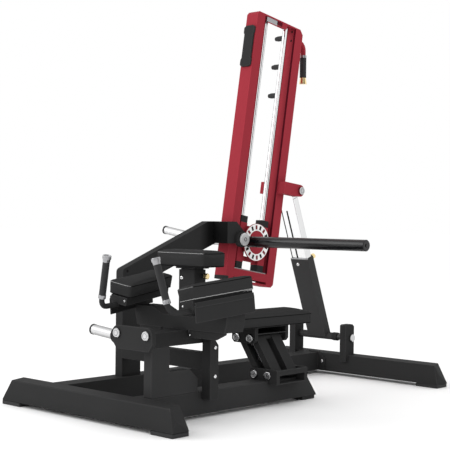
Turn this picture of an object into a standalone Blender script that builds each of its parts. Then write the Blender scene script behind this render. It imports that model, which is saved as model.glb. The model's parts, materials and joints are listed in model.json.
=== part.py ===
"""Plate-loaded kneeling glute machine: base, tilting slide frame, sliding foot bar, pads and their adjusters.

World: +Z up, X across the machine, +Y from the front rail to the rear rail, origin on the floor
under the middle of the bounding box. Lengths in metres.
Survey positions are measured from the front rail's right-hand end and moved to the origin by at().
"""
import math
import bpy
import bmesh
from mathutils import Matrix, Vector, Euler

for item in list(bpy.data.objects):
    bpy.data.objects.remove(item, do_unlink=True)

# Base
RAIL_LENGTH = 1.417        # front and rear rails, along X
DEPTH = 2.480              # front rail's front face to rear rail's back face
RAIL_W = 0.120
RAIL_H = 0.125
FOOT_H = 0.022
RAIL_TOP = RAIL_H + FOOT_H
END_NEAR, END_FAR = 0.023, 0.072   # how far a rail's top stops short of its foot, at the end cap's two corners
LEFT_RAIL_X = -1.033       # centre line of the long side rail
MID_RAIL_X = -0.360        # centre line of the short rail, and of the user
MID_RAIL_END = 1.500
GAP = 0.0003

# Tilting slide frame
FRAME_X = -0.9825
LEAN = math.radians(9.4)
AXLE_Y, AXLE_Z = 1.4318, 0.949
STILE_X = 0.095
STILE_T = 0.073
FRAME_T = 0.468            # across both stiles
FRAME_TOP = 1.503          # above the axle, along the stiles
BAR_TOP = -0.182           # top of the bottom bar
ROD_R = 0.017
ROD_T = (0.096, 0.302)
CARRIAGE_T, CARRIAGE_S = 0.199, 0.009
DIAL_R = 0.1215
BAR_R = 0.035
BAR_T, BAR_S = -0.080, -0.0075  # foot bar's axis from the dial's centre
LIP = 0.009                # the thin wall that closes the top of the frame
BAR_END = 1.0090           # foot bar's free end, from the frame's middle plane

# Tilt strut
SHAFT_Y, SHAFT_Z = 2.400, 0.264
STRUT_LEAN = math.radians(20.7)
STRUT_LONG = 1.0755
LUG_T, LUG_S = 0.528, 0.413

# Pads
PAD_CANT = math.radians(10.5)
PAD_PITCH = math.radians(6.5)
PAD_YAW = math.radians(10.2)
ELBOW_SPREAD = 0.2584
ELBOW_Y, ELBOW_Z = 0.1868, 0.6592

# Knee pad linkage
LINK_LONG = 0.248
LINK_LEAN = math.radians(34.7)
LINK_PITCH = 0.103
LINK_FOOT_Z = 0.178

PAD_REACH = 0.0373         # how far the right elbow pad stands out past the rails' right-hand end
SHIFT = Vector(((RAIL_LENGTH - PAD_REACH) / 2, -DEPTH / 2, 0.0))

parts = bpy.data.collections.new("glute_machine")
tools = bpy.data.collections.new("cutters")
bpy.context.scene.collection.children.link(parts)
bpy.context.scene.collection.children.link(tools)


def at(x, y, z):
    """Survey position as a world vector."""
    return Vector((x, y, z)) + SHIFT


def paint(name, colour, roughness, metallic=0.0):
    mat = bpy.data.materials.new(name)
    mat.use_nodes = True
    node = mat.node_tree.nodes["Principled BSDF"]
    node.inputs["Base Color"].default_value = (*colour, 1.0)
    node.inputs["Roughness"].default_value = roughness
    node.inputs["Metallic"].default_value = metallic
    mat.diffuse_color = (*colour, 1.0)
    return mat


BLACK = paint("black_powder_coat", (0.035, 0.035, 0.037), 0.5)
RED = paint("red_powder_coat", (0.32, 0.035, 0.055), 0.42)
CHROME = paint("chrome_plate", (0.78, 0.78, 0.79), 0.12, 1.0)
SILVER = paint("satin_aluminium", (0.6, 0.6, 0.61), 0.3, 1.0)
BRASS = paint("brass_finish", (0.8, 0.52, 0.14), 0.25, 1.0)
GLOSS = paint("gloss_black", (0.02, 0.02, 0.022), 0.12)
VINYL = paint("black_vinyl", (0.03, 0.03, 0.032), 0.45)
RUBBER = paint("black_rubber", (0.025, 0.025, 0.026), 0.8)
WHITE = paint("white_plastic", (0.8, 0.8, 0.79), 0.4)


def place(name, mesh, material, location, rotation=(0, 0, 0), parent=None, mode="XYZ", home=None):
    """Put a mesh in the scene under its name, as a flat-shaded body with smooth round faces."""
    thing = bpy.data.objects.new(name, mesh)
    (home or parts).objects.link(thing)
    thing.rotation_mode = mode
    thing.location = location
    thing.rotation_euler = rotation
    if parent:
        thing.parent = parent
    if material:
        mesh.materials.clear()
        mesh.materials.append(material)
    mesh.shade_smooth()
    mesh.set_sharp_from_angle(angle=math.radians(35))
    return thing


def pivot(name, location, rotation=(0, 0, 0), parent=None):
    spot = bpy.data.objects.new(name, None)
    parts.objects.link(spot)
    spot.location = location
    spot.rotation_euler = rotation
    spot.parent = parent
    spot.empty_display_size = 0.05
    return spot


def box_mesh(name, low, high):
    """A box between two corners in the object's own axes."""
    bm = bmesh.new()
    bmesh.ops.create_cube(bm, size=1.0)
    low, high = Vector(low), Vector(high)
    size = high - low
    bmesh.ops.scale(bm, vec=size, verts=bm.verts)
    bmesh.ops.translate(bm, vec=(low + high) / 2, verts=bm.verts)
    mesh = bpy.data.meshes.new(name)
    bm.to_mesh(mesh)
    bm.free()
    return mesh


TURN = {
    "X": Matrix(((0, 0, 1), (1, 0, 0), (0, 1, 0))).to_4x4(),
    "Y": Matrix(((0, 1, 0), (0, 0, 1), (1, 0, 0))).to_4x4(),
    "Z": Matrix.Identity(4),
}


def flat_mesh(name, loops, axis, start, end):
    """An outline with holes, extruded along an axis. Points are (y, z), (z, x) or (x, y) for X, Y or Z."""
    curve = bpy.data.curves.new(name, "CURVE")
    curve.dimensions = "2D"
    curve.fill_mode = "BOTH"
    curve.extrude = (end - start) / 2
    for loop in loops:
        spline = curve.splines.new("POLY")
        spline.points.add(len(loop) - 1)
        for point, (u, v) in zip(spline.points, loop):
            point.co = (u, v, 0.0, 1.0)
        spline.use_cyclic_u = True
    return curve_mesh(name, curve, TURN[axis] @ Matrix.Translation((0, 0, (start + end) / 2)))


def curve_mesh(name, curve, matrix=None):
    """The closed mesh of a curve, its caps welded."""
    holder = bpy.data.objects.new(name + "_curve", curve)
    tools.objects.link(holder)
    deps = bpy.context.evaluated_depsgraph_get()
    mesh = bpy.data.meshes.new_from_object(holder.evaluated_get(deps))
    bpy.data.objects.remove(holder, do_unlink=True)
    bm = bmesh.new()
    bm.from_mesh(mesh)
    bmesh.ops.remove_doubles(bm, verts=bm.verts, dist=0.00002)
    bmesh.ops.recalc_face_normals(bm, faces=bm.faces)
    if matrix:
        bmesh.ops.transform(bm, matrix=matrix, verts=bm.verts)
    bm.to_mesh(mesh)
    bm.free()
    mesh.name = name
    return mesh


def circle(u, v, radius, count=24):
    return [(u + radius * math.cos(2 * math.pi * k / count), v + radius * math.sin(2 * math.pi * k / count))
            for k in range(count)]


def rounded(low, high, radius, count=4):
    """A rectangle with rounded corners."""
    (u0, v0), (u1, v1) = low, high
    points = []
    for cu, cv, first in ((u1 - radius, v1 - radius, 0), (u0 + radius, v1 - radius, 90),
                          (u0 + radius, v0 + radius, 180), (u1 - radius, v0 + radius, 270)):
        for k in range(count + 1):
            a = math.radians(first + 90 * k / count)
            points.append((cu + radius * math.cos(a), cv + radius * math.sin(a)))
    return points


def cylinder_mesh(name, axis, centre, radius, start, end, count=24, chamfer=0.0):
    """A cylinder along an axis between start and end, centred on the other two coordinates."""
    bm = bmesh.new()
    bmesh.ops.create_cone(bm, cap_ends=True, segments=count, radius1=radius, radius2=radius, depth=end - start)
    if chamfer:
        rims = [e for e in bm.edges if abs(e.verts[0].co.z - e.verts[1].co.z) < 1e-6]
        bmesh.ops.bevel(bm, geom=rims, offset=chamfer, segments=1, profile=0.5, affect="EDGES", material=-1)
    bmesh.ops.translate(bm, vec=(0, 0, (start + end) / 2), verts=bm.verts)
    bmesh.ops.transform(bm, matrix=TURN[axis], verts=bm.verts)
    a, b = centre
    offset = {"X": (0, a, b), "Y": (a, 0, b), "Z": (a, b, 0)}[axis]
    bmesh.ops.translate(bm, vec=offset, verts=bm.verts)
    mesh = bpy.data.meshes.new(name)
    bm.to_mesh(mesh)
    bm.free()
    return mesh


def soften(thing, width, segments=1):
    bevel = thing.modifiers.new("Bevel", "BEVEL")
    bevel.width = width
    bevel.segments = segments
    bevel.limit_method = "ANGLE"
    bevel.angle_limit = math.radians(40)
    bevel.harden_normals = False
    return thing


def combine(thing, mesh, operation="UNION"):
    """Join a mesh to an object, or cut it away, in the object's own axes."""
    other = bpy.data.objects.new(thing.name + "_" + operation.lower(), mesh)
    tools.objects.link(other)
    other.rotation_mode = thing.rotation_mode
    other.location = thing.location
    other.rotation_euler = thing.rotation_euler
    other.parent = thing.parent
    other.hide_render = True
    other.display_type = "WIRE"
    step = thing.modifiers.new(operation.title(), "BOOLEAN")
    step.operation = operation
    step.solver = "EXACT"
    step.object = other
    return thing


def pipe_mesh(name, points, radius, sides=3):
    """A round tube along points, with flat closed ends."""
    curve = bpy.data.curves.new(name, "CURVE")
    curve.dimensions = "3D"
    curve.bevel_depth = radius
    curve.bevel_resolution = sides
    curve.use_fill_caps = True
    spline = curve.splines.new("POLY")
    spline.points.add(len(points) - 1)
    for point, co in zip(spline.points, points):
        point.co = (*co, 1.0)
    return curve_mesh(name, curve)


def bend(points, radius, steps=5):
    """A path with its inner corners rounded."""
    points = [Vector(p) for p in points]
    path = [points[0]]
    for before, corner, after in zip(points, points[1:], points[2:]):
        a, b = (before - corner).normalized(), (after - corner).normalized()
        half = a.angle(b) / 2
        reach = radius / math.tan(half)
        centre = corner + (a + b).normalized() * (radius / math.sin(half))
        first, last = (corner + a * reach - centre).normalized(), (corner + b * reach - centre).normalized()
        for k in range(steps + 1):
            path.append(centre + first.slerp(last, k / steps) * radius)
    path.append(points[-1])
    return path


def cushion(name, size, corner, edge, crown, drawn):
    """A padded block on z = 0: rounded plan, soft top edge, domed top, sides drawn in to the board."""
    hx, hy, hz = size[0] / 2, size[1] / 2, size[2]
    bm = bmesh.new()
    bmesh.ops.create_cube(bm, size=1.0)
    bmesh.ops.scale(bm, vec=(size[0], size[1], hz), verts=bm.verts)
    bmesh.ops.translate(bm, vec=(0, 0, hz / 2), verts=bm.verts)
    uprights = [e for e in bm.edges if abs(e.verts[0].co.z - e.verts[1].co.z) > hz / 2]
    bmesh.ops.bevel(bm, geom=uprights, offset=corner, segments=4, profile=0.5, affect="EDGES", material=-1)
    rim = [e for e in bm.edges if all(v.co.z > hz - 1e-5 for v in e.verts)]
    bmesh.ops.bevel(bm, geom=rim, offset=edge, segments=3, profile=0.5, affect="EDGES", material=-1)
    bm.normal_update()
    lid = [f for f in bm.faces if f.normal.z > 0.99]
    spans, done = [hx - edge, hy - edge], 0.0
    for share in (0.2, 0.25, 0.25):
        grown = bmesh.ops.extrude_face_region(bm, geom=lid)["geom"]
        bmesh.ops.delete(bm, geom=lid, context="FACES_ONLY")
        lid = [f for f in grown if isinstance(f, bmesh.types.BMFace)]
        ring = list({v for f in lid for v in f.verts})
        step = min(hx, hy) * share
        bmesh.ops.scale(bm, vec=((spans[0] - step) / spans[0], (spans[1] - step) / spans[1], 1.0), verts=ring)
        lift = crown * ((1 - done) ** 2 - (1 - done - share) ** 2)
        bmesh.ops.translate(bm, vec=(0, 0, lift), verts=ring)
        spans, done = [span - step for span in spans], done + share
    for vert in bm.verts:
        if vert.co.z < 1e-5:
            vert.co.x *= 1 - drawn / hx
            vert.co.y *= 1 - drawn / hy
    mesh = bpy.data.meshes.new(name)
    bm.to_mesh(mesh)
    bm.free()
    return mesh


# Base rails: each end is a folded cap whose top stops short of its foot, with a small facet on one upright edge
def slanted_rail(name, x0, x1, y0, y1):
    bm = bmesh.new()
    for x, sign, near, far, peak in ((x1, 1, END_NEAR, END_FAR, y0 + 0.022), (x0, -1, END_FAR + 0.022, END_NEAR + 0.022, y1 - 0.022)):
        for y, inset in ((y0, near), (y1, far)):
            bm.verts.new((x, y, FOOT_H))
            bm.verts.new((x - sign * inset, y, RAIL_TOP))
        bm.verts.new((x, peak, (FOOT_H + RAIL_TOP) / 2))
    hull = bmesh.ops.convex_hull(bm, input=bm.verts)
    bmesh.ops.dissolve_limit(bm, angle_limit=math.radians(0.5), verts=bm.verts, edges=bm.edges)
    mesh = bpy.data.meshes.new(name)
    bm.to_mesh(mesh)
    bm.free()
    return place(name, mesh, BLACK, at(0, 0, 0))


soften(slanted_rail("rail_front", -RAIL_LENGTH, 0.0, 0.0, RAIL_W), 0.004)
rear = slanted_rail("rail_rear", -RAIL_LENGTH, 0.0, DEPTH - RAIL_W, DEPTH)
upright = [(2.335, 0.105), (2.3610, 0.105), (2.3610, RAIL_TOP - 0.001), (2.430, RAIL_TOP - 0.001), (2.430, 0.342),
           (2.412, 0.358), (2.350, 0.358), (2.335, 0.351)]
for x0, x1 in ((-1.219, -1.169), (-0.769, -0.719)):
    combine(rear, flat_mesh("upright", [upright, circle(SHAFT_Y, SHAFT_Z, 0.0203, 20)], "X", x0, x1))
soften(rear, 0.0025)

side = place("rail_left", box_mesh("rail_left", (LEFT_RAIL_X - RAIL_W / 2, RAIL_W + GAP, FOOT_H),
                                   (LEFT_RAIL_X + RAIL_W / 2, DEPTH - RAIL_W - 0.009, RAIL_TOP)),
             BLACK, at(0, 0, 0))

mid_profile = [(RAIL_W + GAP, FOOT_H), (MID_RAIL_END, FOOT_H), (MID_RAIL_END - 0.095, RAIL_TOP), (RAIL_W + GAP, RAIL_TOP)]
mid = place("rail_middle", flat_mesh("rail_middle", [mid_profile], "X", MID_RAIL_X - RAIL_W / 2, MID_RAIL_X + RAIL_W / 2),
            BLACK, at(0, 0, 0))
combine(mid, box_mesh("foot", (MID_RAIL_X - 0.052, MID_RAIL_END - 0.125, 0.0),
                      (MID_RAIL_X + 0.052, MID_RAIL_END - 0.010, FOOT_H + 0.001)))
soften(mid, 0.003)

for name, x0, x1, y0, y1 in (("foot_front_right", -0.165, -0.002, 0.002, 0.118),
                             ("foot_front_left", -RAIL_LENGTH + 0.002, -RAIL_LENGTH + 0.165, 0.002, 0.118),
                             ("foot_rear_right", -0.165, -0.002, DEPTH - 0.118, DEPTH - 0.002),
                             ("foot_rear_left", -RAIL_LENGTH + 0.002, -RAIL_LENGTH + 0.165, DEPTH - 0.118, DEPTH - 0.002)):
    soften(place(name, box_mesh(name, (x0, y0, 0.0), (x1, y1, FOOT_H - GAP)), RUBBER, at(0, 0, 0)), 0.003)

flange_profile = [(0.030, -1.098), (0.030, -0.912), (0.105, -0.912), (0.155, -0.957), (0.155, -1.053), (0.105, -1.098)]
combine(side, flat_mesh("rear_flange", [flange_profile], "Y", DEPTH - RAIL_W - 0.010, DEPTH - RAIL_W - GAP))
soften(side, 0.003, 1)

# Fixed arm: post, sloping tube and the fork round the tilting frame's front stile
ARM_X0, ARM_X1 = -1.063, -1.003
ARM_TOP, ARM_LOW = 1.0606, 0.923
# Storage horns: y, z, horn radius, collar radius, collar length, upward tilt, horn length
HORNS = {"storage_horn_upper": (1.200, 0.966, 0.025, 0.043, 0.028, math.radians(8.5), 0.234),
         "storage_horn_lower": (0.610, 0.377, 0.031, 0.0475, 0.060, math.radians(5.2), 0.208)}
arm_profile = [(0.5535, RAIL_TOP + GAP), (0.6985, RAIL_TOP + GAP), (0.6985, 0.6836), (1.3342, ARM_LOW), (1.345, ARM_LOW),
               (1.345, ARM_TOP), (1.2695, ARM_TOP), (0.5675, 0.781), (0.5575, 0.773), (0.5535, 0.760)]
arm = place("tilt_arm", flat_mesh("tilt_arm", [arm_profile], "X", ARM_X0, ARM_X1), BLACK, at(0, 0, 0))
combine(arm, box_mesh("web", (-1.081, 1.316, ARM_LOW - 0.0001), (-0.884, 1.3448, ARM_TOP + 0.0001)))
fork_profile = [(1.3262, ARM_LOW), (1.490, ARM_LOW), (1.490, 0.985), (1.402, ARM_TOP), (1.3262, ARM_TOP)]
for x0, x1 in ((-0.934, -0.8842), (-1.0808, -1.031)):
    combine(arm, flat_mesh("cheek", [fork_profile, circle(AXLE_Y, AXLE_Z, 0.0155, 20)], "X", x0, x1))
combine(arm, flat_mesh("boss", [circle(AXLE_Y, AXLE_Z, 0.049, 32), circle(AXLE_Y, AXLE_Z, 0.0155, 20)], "X",
                       -0.8848, -0.850 - GAP))
for y, z, radius, collar, reach, tilt, long in HORNS.values():
    combine(arm, cylinder_mesh("collar", "X", (y, z), collar, ARM_X0 - reach, ARM_X0 + 0.0005, 24))
soften(arm, 0.0025, 1)

axle = cylinder_mesh("tilt_axle", "X", (AXLE_Y, AXLE_Z), 0.015, -1.100, -0.840, 20)
axle = place("tilt_axle", axle, CHROME, at(0, 0, 0))
combine(axle, cylinder_mesh("cap", "X", (AXLE_Y, AXLE_Z), 0.0405, -0.850, -0.834, 32, 0.004))
combine(axle, cylinder_mesh("nut", "X", (AXLE_Y, AXLE_Z), 0.026, -1.106, -1.081 - GAP, 6))

# Storage horns, tilted up a little
for name, (y, z, radius, collar, reach, tilt, long) in HORNS.items():
    horn = cylinder_mesh(name, "X", (0, 0), radius, -long, 0.0, 24)
    for vert in horn.vertices:
        if vert.co.x > -0.001:
            vert.co.x = -GAP - vert.co.z * math.tan(tilt)
    horn = place(name, horn, CHROME, at(ARM_X0 - reach, y, z), (0, tilt, 0))
    combine(horn, cylinder_mesh("plug", "X", (0, 0), radius + 0.0012, -long - 0.010, -long + 0.002, 24, 0.003))

# Tilting frame: two stiles, top and bottom bars and the strut's lugs, as one weldment
tilt = pivot("frame_tilt", at(FRAME_X, AXLE_Y, AXLE_Z), (-LEAN, 0, 0))
T0, T1 = -STILE_T / 2, FRAME_T - STILE_T / 2
OPEN0, OPEN1 = STILE_T / 2, T1 - STILE_T
frame_outline = [(T0, -0.262), (T1 - 0.020, -0.262), (T1, -0.242),
                 (T1, FRAME_TOP - 0.030), (T1 - 0.030, FRAME_TOP), (T0 + 0.015, FRAME_TOP), (T0, FRAME_TOP - 0.020)]
opening = [(OPEN0, BAR_TOP), (OPEN1, BAR_TOP), (OPEN1, FRAME_TOP - LIP), (OPEN0, FRAME_TOP - LIP)]
slot = [(OPEN0 + 0.002, -0.250), (OPEN1, -0.250), (OPEN1, -0.235), (OPEN0 + 0.002, -0.235)]
frame = place("slide_frame", flat_mesh("slide_frame", [frame_outline, opening, slot, circle(0, 0, 0.0155, 20)], "X",
                                       -STILE_X / 2, STILE_X / 2), RED, (0, 0, 0), parent=tilt)
lug = [(0.364, LUG_S - 0.048), (LUG_T, LUG_S - 0.040)]
lug += [(LUG_T + 0.040 * math.sin(math.radians(a)), LUG_S - 0.040 * math.cos(math.radians(a))) for a in range(20, 161, 20)]
lug += [(LUG_T, LUG_S + 0.040), (0.364, LUG_S + 0.032)]
for x0, x1 in ((STILE_X / 2 - 0.0005, STILE_X / 2 + 0.060), (-STILE_X / 2 - 0.060, -STILE_X / 2 + 0.0005)):
    combine(frame, flat_mesh("lug", [lug, circle(LUG_T, LUG_S, 0.0125, 16)], "X", x0, x1))
combine(frame, box_mesh("stop", (0.036, 0.215, FRAME_TOP - 0.040), (0.0470, 0.262, FRAME_TOP - LIP + 0.0005)))
soften(frame, 0.0025, 1)


def on_frame(y, z):
    """A survey point in the plane of the frame as (t, s) along the tilted axes."""
    dy, dz = y - AXLE_Y, z - AXLE_Z
    return dy * math.cos(LEAN) - dz * math.sin(LEAN), dy * math.sin(LEAN) + dz * math.cos(LEAN)


# Tube of the hanging hand grip behind the top of the frame; its straight length is upright
GRIP_Y = 2.162
corner = on_frame(GRIP_Y, 2.292)
low = on_frame(GRIP_Y, 2.206)
grip_path = bend([(0, T1 - 0.001, 1.432), (0, *corner), (0, *low)], 0.055, 5)
combine(frame, pipe_mesh("grip_tube", grip_path, 0.0175))

strip = [rounded((-0.040, OPEN0 + 0.004), (0.040, OPEN1 - 0.004), 0.006, 2)]
strip += [circle(0, t, ROD_R + 0.0006, 20) for t in ROD_T]
strip = flat_mesh("buffer_strip", strip, "Z", BAR_TOP + GAP, BAR_TOP + 0.0065)
place("buffer_strip", strip, RUBBER, (0, 0, 0), parent=tilt)
for name, t in zip(("guide_rod_front", "guide_rod_rear"), ROD_T):
    place(name, cylinder_mesh(name, "Z", (0, t), ROD_R, BAR_TOP + GAP, FRAME_TOP - LIP - GAP, 24), CHROME, (0, 0, 0),
          parent=tilt)

# Plaque on the front stile, winged at both ends, outlined as (s, x)
plate = [(1.404, 0.028), (1.404, -0.028), (1.394, -0.044), (1.354, -0.044), (1.346, -0.039), (1.186, -0.039),
         (1.178, -0.044), (1.138, -0.044), (1.128, -0.028), (1.128, 0.028), (1.138, 0.044), (1.178, 0.044),
         (1.186, 0.039), (1.346, 0.039), (1.354, 0.044), (1.394, 0.044)]
badge = place("front_plaque", flat_mesh("front_plaque", [plate], "Y", T0 - 0.016, T0 - GAP), BLACK, (0, 0, 0), parent=tilt)
soften(badge, 0.003, 1)

PEG_T = OPEN1 + STILE_T / 2
for number, s in enumerate((1.456, 1.254, 1.052), 1):
    name = "band_peg_%d" % number
    peg = place(name, cylinder_mesh(name, "X", (PEG_T, s), 0.0180, -0.142, -STILE_X / 2 - GAP, 20), RUBBER, (0, 0, 0),
                parent=tilt)
    combine(peg, cylinder_mesh("tip", "X", (PEG_T, s), 0.0145, -0.162, -0.141, 20, 0.003))

grip_base = on_frame(GRIP_Y, 2.206)
for name, z0, z1, radius, material in (("top_grip_ring", 2.188, 2.206, 0.0235, SILVER),
                                       ("top_grip_sleeve", 2.052, 2.188, 0.0225, RUBBER),
                                       ("top_grip_cap", 2.008, 2.052, 0.0275, BRASS)):
    mesh = cylinder_mesh(name, "Z", (0, 0), radius, z0 - 2.206 + GAP, z1 - 2.206 - GAP, 20)
    if name == "top_grip_cap":
        for vert in mesh.vertices:
            if vert.co.z > -0.17:
                vert.co.x *= 0.74
                vert.co.y *= 0.74
    place(name, mesh, material, (0, *grip_base), (LEAN, 0, 0), parent=tilt)

# Carriage on the rods: two bearing housings, the dial disc and the free-turning foot bar
slide = pivot("carriage_slide", (0, CARRIAGE_T, CARRIAGE_S), parent=tilt)
HOUSE = 0.0325
offsets = [t - CARRIAGE_T for t in ROD_T]
house = [rounded((-HOUSE, offsets[0] - HOUSE), (HOUSE, offsets[0] + HOUSE), 0.005, 2), circle(0, offsets[0], 0.0185, 20)]
carriage = place("carriage", flat_mesh("carriage", house, "Z", -0.139, 0.115), RED, (0, 0, 0), parent=slide)
house = [rounded((-HOUSE, offsets[1] - HOUSE), (HOUSE, offsets[1] + HOUSE), 0.005, 2), circle(0, offsets[1], 0.0185, 20)]
combine(carriage, flat_mesh("house", house, "Z", -0.139, 0.115))
combine(carriage, box_mesh("yoke", (0.026, -0.115, -0.040), (0.0570, 0.115, 0.040)))
combine(carriage, cylinder_mesh("disc", "X", (0, 0), DIAL_R, 0.0565, 0.0645, 48))
inner = offsets[1] - HOUSE + 0.001
for s0, s1 in ((0.072, 0.102), (-0.128, -0.098)):
    combine(carriage, box_mesh("bar", (-0.012, -inner, s0), (0.012, inner, s1)))
for side_name, t in zip(("front", "rear"), offsets):
    for level, s0, s1 in (("upper", 0.115 + GAP, 0.159), ("lower", -0.183, -0.139 - GAP)):
        name = "bearing_cap_%s_%s" % (side_name, level)
        mesh = flat_mesh(name, [rounded((-0.0315, t - 0.0315), (0.0315, t + 0.0315), 0.006, 2),
                                circle(0, t, ROD_R + 0.0005, 20)], "Z", s0, s1)
        place(name, mesh, BLACK, (0, 0, 0), parent=slide)
load = cylinder_mesh("load_horn", "X", (0, 0), 0.025, -0.317, 0.0, 24, 0.003)
load = place("load_horn", load, CHROME, (-0.0123, 0, 0), parent=slide)
ring = place("dial_ring", flat_mesh("dial_ring", [circle(0, 0, 0.1195, 48), circle(0, 0, 0.0770, 40)], "X",
                                    0.0645 + GAP, 0.0662), WHITE, (0, 0, 0), parent=slide)
combine(ring, cylinder_mesh("spindle_hole", "X", (BAR_T, BAR_S), 0.0155, 0.060, 0.070, 20), "DIFFERENCE")
place("foot_bar_spindle", cylinder_mesh("foot_bar_spindle", "X", (BAR_T, BAR_S), 0.015, 0.0645 + GAP, 0.945, 20), SILVER,
      (0, 0, 0), parent=slide)
roll = pivot("foot_bar_turn", (0, BAR_T, BAR_S), parent=slide)
foot_bar = place("foot_bar", cylinder_mesh("foot_bar", "X", (0, 0), BAR_R, 0.0665, BAR_END - 0.004, 32, 0.004), GLOSS,
                 (0, 0, 0), parent=roll)
combine(foot_bar, cylinder_mesh("bore", "X", (0, 0), 0.0156, 0.05, 0.950, 20), "DIFFERENCE")
combine(foot_bar, cylinder_mesh("screw", "X", (0, 0), 0.011, BAR_END - 0.0045, BAR_END, 16))

# Tilt strut behind the frame, a flat tube inside a flat tube, on a cross shaft between two uprights
shaft = place("strut_shaft", cylinder_mesh("strut_shaft", "X", (SHAFT_Y, SHAFT_Z), 0.020, -1.226, -0.712, 20), CHROME,
              at(0, 0, 0))
for x0, x1 in ((-1.234, -1.219 - GAP), (-0.719 + GAP, -0.704)):
    combine(shaft, cylinder_mesh("end", "X", (SHAFT_Y, SHAFT_Z), 0.026, x0, x1, 24, 0.003))

strut = pivot("strut_swing", at(FRAME_X, SHAFT_Y, SHAFT_Z), (STRUT_LEAN, 0, 0))
sleeve = [rounded((-0.0925, -0.034), (0.0625, 0.034), 0.006, 2), rounded((-0.0825, -0.0262), (0.0525, 0.0262), 0.003, 1)]
outer = place("strut_sleeve", flat_mesh("strut_sleeve", sleeve, "Z", 0.010, 0.586), BLACK, (0, 0, 0), parent=strut)
combine(outer, cylinder_mesh("bearing", "X", (0, 0), 0.025, -0.1825, 0.107, 28))
combine(outer, cylinder_mesh("eye", "X", (0, 0), 0.0203, -0.2, 0.2, 20), "DIFFERENCE")
combine(outer, cylinder_mesh("collar", "Y", (0.030, 0.574), 0.014, 0.0300, 0.046, 20))
combine(outer, cylinder_mesh("pin_bore", "Y", (0.030, 0.574), 0.0065, 0.020, 0.060, 12), "DIFFERENCE")
pull = pivot("strut_pin_pull", (0.030, 0.046, 0.574), parent=strut)
pin = place("strut_pin", cylinder_mesh("strut_pin", "Y", (0, 0), 0.0055, -0.009, 0.008, 12), BRASS, (0, 0, 0), parent=pull)
combine(pin, cylinder_mesh("knob", "Y", (0, 0), 0.018, 0.004, 0.030, 20, 0.004))

reach = pivot("strut_reach", (0, 0, 0), parent=strut)
blade = [rounded((-0.081, -0.025), (0.051, 0.025), 0.005, 2)]
ram = place("strut_ram", flat_mesh("strut_ram", blade, "Z", 0.150, 1.022), CHROME, (0, 0, 0), parent=reach)
eye = [(-0.0249, 1.0215), (0.0249, 1.0215), (0.0249, STRUT_LONG)]
eye += [(0.0249 * math.cos(math.radians(a)), STRUT_LONG + 0.0249 * math.sin(math.radians(a))) for a in range(20, 161, 20)]
eye += [(-0.0249, STRUT_LONG)]
combine(ram, flat_mesh("eye", [eye, circle(0, STRUT_LONG, 0.0155, 16)], "X", -0.044, 0.044))

pin = place("strut_top_pin", cylinder_mesh("strut_top_pin", "X", (LUG_T, LUG_S), 0.012, -0.118, 0.118, 16), CHROME,
            (0, 0, 0), parent=tilt)
for x0, x1 in ((STILE_X / 2 + 0.060 + GAP, 0.126), (-0.126, -STILE_X / 2 - 0.060 - GAP)):
    combine(pin, cylinder_mesh("head", "X", (LUG_T, LUG_S), 0.026, x0, x1, 24, 0.003))

# Fixed stand under the pads
STAND_X0, STAND_X1 = -0.360, -0.300
post = [(0.134, RAIL_TOP + GAP), (0.477, RAIL_TOP + GAP), (0.477, 0.222), (0.416, 0.275), (0.264, 0.275), (0.264, 0.4087),
        (0.134, 0.4087)]
thing = place("stand_post_front", flat_mesh("stand_post_front", [post], "X", STAND_X0, STAND_X1), BLACK, at(0, 0, 0))
soften(thing, 0.003, 1)
post = [(0.505, 0.105), (0.568, 0.105), (0.568, 0.400), (0.532, 0.444), (0.505, 0.446)]
thing = place("stand_post_rear", flat_mesh("stand_post_rear", [post], "X", STAND_X1 + GAP, -0.235), BLACK, at(0, 0, 0))
soften(thing, 0.003, 1)
thing = place("cross_beam", box_mesh("cross_beam", (ARM_X1 + GAP, 0.545, 0.255), (STAND_X1, 0.605, 0.350)), BLACK, at(0, 0, 0))
soften(thing, 0.003, 1)
beam = place("seat_beam", box_mesh("seat_beam", (-0.420, 0.0745, 0.409), (STAND_X1, 0.600, 0.485)), BLACK, at(0, 0, 0))
PIVOT_Z = 0.482
front = [(0.400, -0.480), (0.400, -0.235), (0.440, -0.207)]
front += [(PIVOT_Z + 0.040 * math.sin(math.radians(a)), -0.250 + 0.043 * math.cos(math.radians(a))) for a in range(0, 91, 18)]
front += [(PIVOT_Z + 0.040 * math.cos(math.radians(a)), -0.472 - 0.043 * math.sin(math.radians(a))) for a in range(0, 91, 18)]
front += [(0.440, -0.515)]
combine(beam, flat_mesh("front_plate", [front], "Y", 0.050, 0.0755))
soften(beam, 0.003)
for name, x in (("plate_cap_left", -0.472), ("plate_cap_right", -0.250)):
    place(name, cylinder_mesh(name, "Y", (x, PIVOT_Z), 0.0255, 0.037, 0.050 - GAP, 24, 0.004), CHROME, at(0, 0, 0))

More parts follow.
